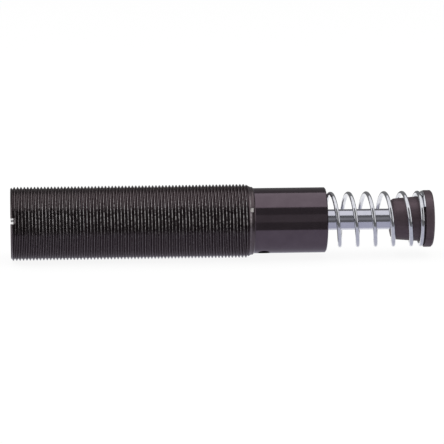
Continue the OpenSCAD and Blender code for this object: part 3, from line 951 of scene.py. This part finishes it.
@dataclass
class ReturnSpring:
    """Open coil spring with closed and ground ends, between its seat and the flange. Sizes in mm."""

    wire_d: float = 1.9
    turns: float = 8.13
    closed_turns: float = 0.9
    opening_turns: float = 0.8
    closed_gap: float = 0.06
    tip_share: float = 0.35
    tip_turn_deg: float = 144.0
    face_gap: float = 0.05
    travel: float = 25.0
    steps_per_turn: int = 48
    wire_sides: int = 20
    ground_edge_deg: float = 40.0

    def __post_init__(self) -> None:
        """Work out the helix from the CAD's seat, flange and spring."""
        self.coil_r = box_mm("return_spring")[2] - self.wire_d / 2
        self.x_seat = box_mm("spring_seat")[1]
        self.x_flange = box_mm("button")[0] + StrikeButton.shank_l
        inset = self.face_gap + self.tip_share * self.wire_d - self.wire_d / 2
        self.x_first, self.x_last = self.x_seat + inset, self.x_flange - inset
        self.closed_pitch = self.wire_d + self.closed_gap
        # an opening rises at the mean of the two pitches, so half of it counts as closed
        narrow = 2 * self.closed_turns + self.opening_turns
        height = self.x_last - self.x_first
        self.open_pitch = (height - narrow * self.closed_pitch) / (self.turns - narrow)

    def rise(self, t: float) -> float:
        """Work out how far the wire has moved along the axis.

        Args:
            t: turns from the nearest end.

        Returns:
            The way in mm.
        """
        opening = min(max(t - self.closed_turns, 0.0), self.opening_turns)
        full = max(t - self.closed_turns - self.opening_turns, 0.0)
        extra = opening * opening / self.opening_turns / 2 + full
        return t * self.closed_pitch + (self.open_pitch - self.closed_pitch) * extra

    def place(self, t: float) -> float:
        """Work out the wire's place along the axis.

        Args:
            t: turns from the rear end.

        Returns:
            The place in mm.
        """
        if t < self.turns / 2:
            return self.x_first + self.rise(t)
        return self.x_last - self.rise(self.turns - t)

    def stations(self, start: float, end: float) -> list[float]:
        """Give even steps of the turn from start to end."""
        count = max(1, round((end - start) * self.steps_per_turn))
        return [start + (end - start) * i / count for i in range(count + 1)]

    def sweep(self, bm: Solid, geom: list[Any], ts: Sequence[float]) -> None:
        """Carry a vertex or a ring along the helix, step by step.

        Args:
            bm: mesh that holds the geometry.
            geom: what is carried, at the first station.
            ts: stations, in turns from the rear end.
        """
        for t, after in zip(ts, ts[1:]):
            shift = (self.place(after) - self.place(t)) * MM
            geom = bmesh.ops.spin(
                bm, geom=geom, axis=AXIS, angle=(after - t) * math.tau, dvec=(shift, 0.0, 0.0), steps=1
            )["geom_last"]

    def start(self, t: float) -> Vector:
        """Give the middle of the wire t turns from the rear end."""
        angle = math.radians(self.tip_turn_deg) + (t - self.turns) * math.tau
        return Vector((
            self.place(t) * MM, self.coil_r * MM * math.cos(angle), self.coil_r * MM * math.sin(angle)
        ))

    def end_turn(self, name: str, start: float, end: float, ground_x: float, outward: float) -> Piece:
        """Make a closed end turn as a solid, ground flat at its face.

        Args:
            name: name of the piece.
            start: first station, in turns.
            end: last station, in turns.
            ground_x: place of the ground face, in mm.
            outward: +1 where the face looks forward, -1 where it looks back.

        Returns:
            The piece.
        """
        bm = bmesh.new()
        ring = bmesh.ops.create_circle(bm, segments=self.wire_sides, radius=self.wire_d / 2 * MM)["verts"]
        middle = self.start(start)
        radial = Vector((0.0, middle.y, middle.z)).normalized()
        for vert in ring:
            vert.co = middle + vert.co.x * radial + vert.co.y * Vector(AXIS)
        self.sweep(bm, ring + bm.edges[:], self.stations(start, end))
        bmesh.ops.holes_fill(bm, edges=[e for e in bm.edges if e.is_boundary])
        bmesh.ops.remove_doubles(bm, verts=bm.verts[:], dist=WELD)
        bmesh.ops.recalc_face_normals(bm, faces=bm.faces[:])
        bmesh.ops.bisect_plane(
            bm, geom=bm.verts[:] + bm.edges[:] + bm.faces[:], dist=WELD, plane_co=(ground_x * MM, 0.0, 0.0),
            plane_no=(outward, 0.0, 0.0), clear_outer=True,
        )
        bmesh.ops.holes_fill(bm, edges=[e for e in bm.edges if e.is_boundary])
        bmesh.ops.recalc_face_normals(bm, faces=bm.faces[:])
        return made(bm, name, self.ground_edge_deg)

    def wire_nodes(self) -> Tree:
        """Make the node group that draws the round wire along a line of edges.

        Returns:
            The group.
        """
        tree = bpy.data.node_groups.new("round_wire", "GeometryNodeTree")
        tree.interface.new_socket("Geometry", in_out="INPUT", socket_type="NodeSocketGeometry")
        tree.interface.new_socket("Geometry", in_out="OUTPUT", socket_type="NodeSocketGeometry")
        line = add_node(tree, "NodeGroupInput")
        curve = add_node(tree, "GeometryNodeMeshToCurve", links={"Mesh": line.outputs[0]})
        ring = add_node(
            tree, "GeometryNodeCurvePrimitiveCircle",
            {"Resolution": self.wire_sides, "Radius": self.wire_d / 2 * MM},
        )
        wire = add_node(
            tree, "GeometryNodeCurveToMesh", {"Fill Caps": True},
            {"Curve": curve.outputs[0], "Profile Curve": ring.outputs[0]},
        )
        painted = add_node(
            tree, "GeometryNodeSetMaterial", {"Material": Finish.SPRING.value.material()},
            {"Geometry": wire.outputs[0]},
        )
        add_node(tree, "NodeGroupOutput", links={0: painted.outputs[0]})
        return tree

    def open_coils(self, start: float, end: float) -> Piece:
        """Make the turns between the closed ends, as a line that carries the wire.

        Args:
            start: first station, in turns.
            end: last station, in turns.

        Returns:
            The piece, which stays one wire thick as its line shortens.
        """
        bm = bmesh.new()
        first = bm.verts.new(self.start(start))
        self.sweep(bm, [first], self.stations(start, end))
        coils = made(bm, "return_spring.coils")
        coils.modifiers.new("wire", "NODES").node_group = self.wire_nodes()
        # the polished rod keeps clear bands, without the coils' dark arcs across them
        coils.visible_glossy = False
        return coils

    def build(self) -> None:
        """Build the rear turn on the barrel, the open coils between the two ends, and the front turn that
        slides.
        """
        # an end turn keeps half of its opening, so that the shortened coils don't close onto it
        t_rear = self.closed_turns + self.opening_turns / 2
        t_front = self.turns - t_rear
        x_rear_face, x_front_face = self.x_seat + self.face_gap, self.x_flange - self.face_gap
        rear = self.end_turn("return_spring.rear", 0.0, t_rear, x_rear_face, -1.0)
        front = self.end_turn("return_spring.front", t_front, self.turns, x_front_face, 1.0)
        coils = self.open_coils(t_rear, t_front)
        for piece, body in ((rear, "barrel"), (front, "piston_guide"), (coils, "barrel")):
            dress(piece, Finish.SPRING, body, ["return_spring"])
        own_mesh(coils)


# ------ studio


@dataclass
class Card:
    """A flat card of one brightness that only mirrors see. Corners in mm, along X over its length."""

    name: str
    light: float
    near: Pair
    far: Pair
    tint: str = "#FFFFFF"
    half_l: float = 10000.0

    def build(self, side: float) -> None:
        """Stand the card at the front or at the back.

        Args:
            side: -1 for the camera's side of the absorber, +1 for the back.
        """
        bm = bmesh.new()
        end = self.half_l * MM
        corners = ((-end, self.near), (end, self.near), (end, self.far), (-end, self.far))
        bm.faces.new([bm.verts.new((x, side * y * MM, z * MM)) for x, (y, z) in corners])
        card = made(bm, f"{self.name}.{'back' if side > 0 else 'front'}")
        material, tree, _ = new_material(card.name)
        close_material(tree, add_node(
            tree, "ShaderNodeEmission", {"Strength": self.light, "Color": linear(self.tint)}
        ))
        card.data.materials.append(material)
        for ray in ("camera", "diffuse", "shadow", "transmission"):
            setattr(card, f"visible_{ray}", False)


@dataclass
class Studio:
    """Pale floor, overhead softbox, cards and camera. Sizes in mm."""

    target: Triple = (94.1, 0.0, -0.38)
    yaw_deg: float = 4.1
    elevation_deg: float = 10.7
    distance: float = 1200.0
    view_w: float = 198.3
    sensor_mm: float = 36.0
    floor_half: float = 6000.0
    lamp_h: float = 1200.0
    lamp_half_deg: float = 33.0
    lamp_l: float = 3000.0
    lamp_radiance: float = 1.1
    world_light: float = 0.8
    background_share: float = 0.9
    wall_y: float = 1500.0
    wall_top: float = 2310.0
    wall_half_l: float = 1800.0
    card_gap: float = 0.5
    front_apron_y: float = 46.0
    back_apron_y: float = 150.0
    strip_gap: float = 10.0
    strip_low: float = 105.0
    strip_high: float = 866.0
    lilac_light: float = 0.62
    dark_light: float = 0.14
    strip_light: float = 0.26
    back_light: float = 0.2

    def seen_directly(self, tree: Tree) -> Socket:
        """Tell the camera, glossy and transmission rays, which see the white background, from the rest.

        Args:
            tree: tree of the floor's material or of the world.

        Returns:
            Socket that is 1 for these rays.
        """
        path = add_node(tree, "ShaderNodeLightPath")
        seen = path.outputs["Is Camera Ray"]
        for ray in ("Is Glossy Ray", "Is Transmission Ray"):
            seen = add_node(
                tree, "ShaderNodeMath", {"operation": "MAXIMUM"}, {0: seen, 1: path.outputs[ray]}
            ).outputs[0]
        return seen

    def floor(self) -> None:
        """Lay the pale floor, which keeps part of its shadow in front of the white background."""
        bm = bmesh.new()
        bmesh.ops.create_grid(bm, x_segments=1, y_segments=1, size=self.floor_half * MM)
        z = -box_mm("cylinder_body")[2]
        bmesh.ops.translate(bm, verts=bm.verts, vec=(0.0, 0.0, z * MM))
        floor = made(bm, "floor")
        material, tree, _ = new_material("pale_floor")
        share = add_node(
            tree, "ShaderNodeMath", {"operation": "MULTIPLY", 1: self.background_share},
            {0: self.seen_directly(tree)},
        )
        matt = add_node(tree, "ShaderNodeBsdfDiffuse", {"Color": linear("#F2F2F2")})
        white = add_node(tree, "ShaderNodeEmission", {"Strength": 1.0, "Color": linear("#FFFFFF")})
        close_material(tree, add_node(
            tree, "ShaderNodeMixShader",
            links={0: share.outputs[0], 1: matt.outputs[0], 2: white.outputs[0]},
        ))
        floor.data.materials.append(material)

    def world(self) -> None:
        """Light the room softly, and show it white behind the absorber."""
        world = bpy.data.worlds.new("studio")
        world.use_nodes = True
        tree = world.node_tree
        tree.nodes.clear()
        strength = add_node(
            tree, "ShaderNodeMapRange", {"To Min": self.world_light, "To Max": 1.0},
            {"Value": self.seen_directly(tree)},
        )
        sky = add_node(
            tree, "ShaderNodeBackground", {"Color": linear("#FFFFFF")}, {"Strength": strength.outputs[0]}
        )
        add_node(tree, "ShaderNodeOutputWorld", links={"Surface": sky.outputs[0]})
        bpy.context.scene.world = world

    def lamp(self) -> None:
        """Hang the softbox over the absorber, along its axis."""
        light = bpy.data.lights.new("softbox", "AREA")
        light.shape = "RECTANGLE"
        light.size = self.lamp_l * MM
        light.size_y = 2 * self.lamp_h * math.tan(math.radians(self.lamp_half_deg)) * MM
        light.energy = self.lamp_radiance * math.pi * light.size * light.size_y
        box = bpy.data.objects.new("softbox", light)
        box.location = (self.target[0] * MM, 0.0, self.lamp_h * MM)
        box.visible_glossy = False
        bpy.context.scene.collection.objects.link(box)

    def camera(self) -> None:
        """Set the camera a little to the rear of the middle, looking slightly down."""
        yaw, dip = math.radians(self.yaw_deg), math.radians(self.elevation_deg)
        look = Vector((math.sin(yaw) * math.cos(dip), math.cos(yaw) * math.cos(dip), -math.sin(dip)))
        data = bpy.data.cameras.new("camera")
        data.sensor_width = self.sensor_mm
        data.lens = self.sensor_mm * self.distance / self.view_w
        camera = bpy.data.objects.new("camera", data)
        camera.location = (Vector(self.target) - look * self.distance) * MM
        camera.rotation_euler = look.to_track_quat("-Z", "Y").to_euler()
        bpy.context.scene.collection.objects.link(camera)
        bpy.context.scene.camera = camera

    def cards(self) -> None:
        """Stand the cards that give the polished round pieces their dark and grey bands."""
        floor_z = -box_mm("cylinder_body")[2]
        low = floor_z + self.card_gap
        foot, top = (self.wall_y, floor_z), (self.wall_y, self.wall_top)
        strip_y = self.wall_y - self.strip_gap
        fronts = (
            Card("lilac_strip", self.lilac_light, (0.0, low), (self.front_apron_y, low), "#F0F1FF"),
            Card("dark_apron", self.dark_light, (self.front_apron_y, low), (self.wall_y, low)),
            Card("dark_wall", self.dark_light, foot, top, half_l=self.wall_half_l),
            Card(
                "grey_strip", self.strip_light, (strip_y, self.strip_low), (strip_y, self.strip_high),
                half_l=self.wall_half_l,
            ),
        )
        backs = (
            Card("grey_apron", self.back_light, (self.back_apron_y, low), (self.wall_y, low)),
            Card("grey_wall", self.back_light, foot, top),
        )
        for side, row in ((-1.0, fronts), (1.0, backs)):
            for card in row:
                card.build(side)

    def build(self) -> None:
        """Set up the whole studio."""
        bpy.context.scene.view_settings.view_transform = "Standard"
        self.floor()
        self.world()
        self.lamp()
        self.cards()
        self.camera()
        log.info("studio: camera at %.0f mm, %.1f degrees up", self.distance, self.elevation_deg)


def main() -> None:
    """Build the absorber's sub-assemblies and its studio."""
    logging.basicConfig(level=logging.INFO, format="%(message)s")
    for part in (Barrel(), TubeAndGland(), RodAndPiston(), StrikeButton(), ReturnSpring(), Studio()):
        log.info("%s", type(part).__name__)
        part.build()


if __name__ == "__main__":
    main()
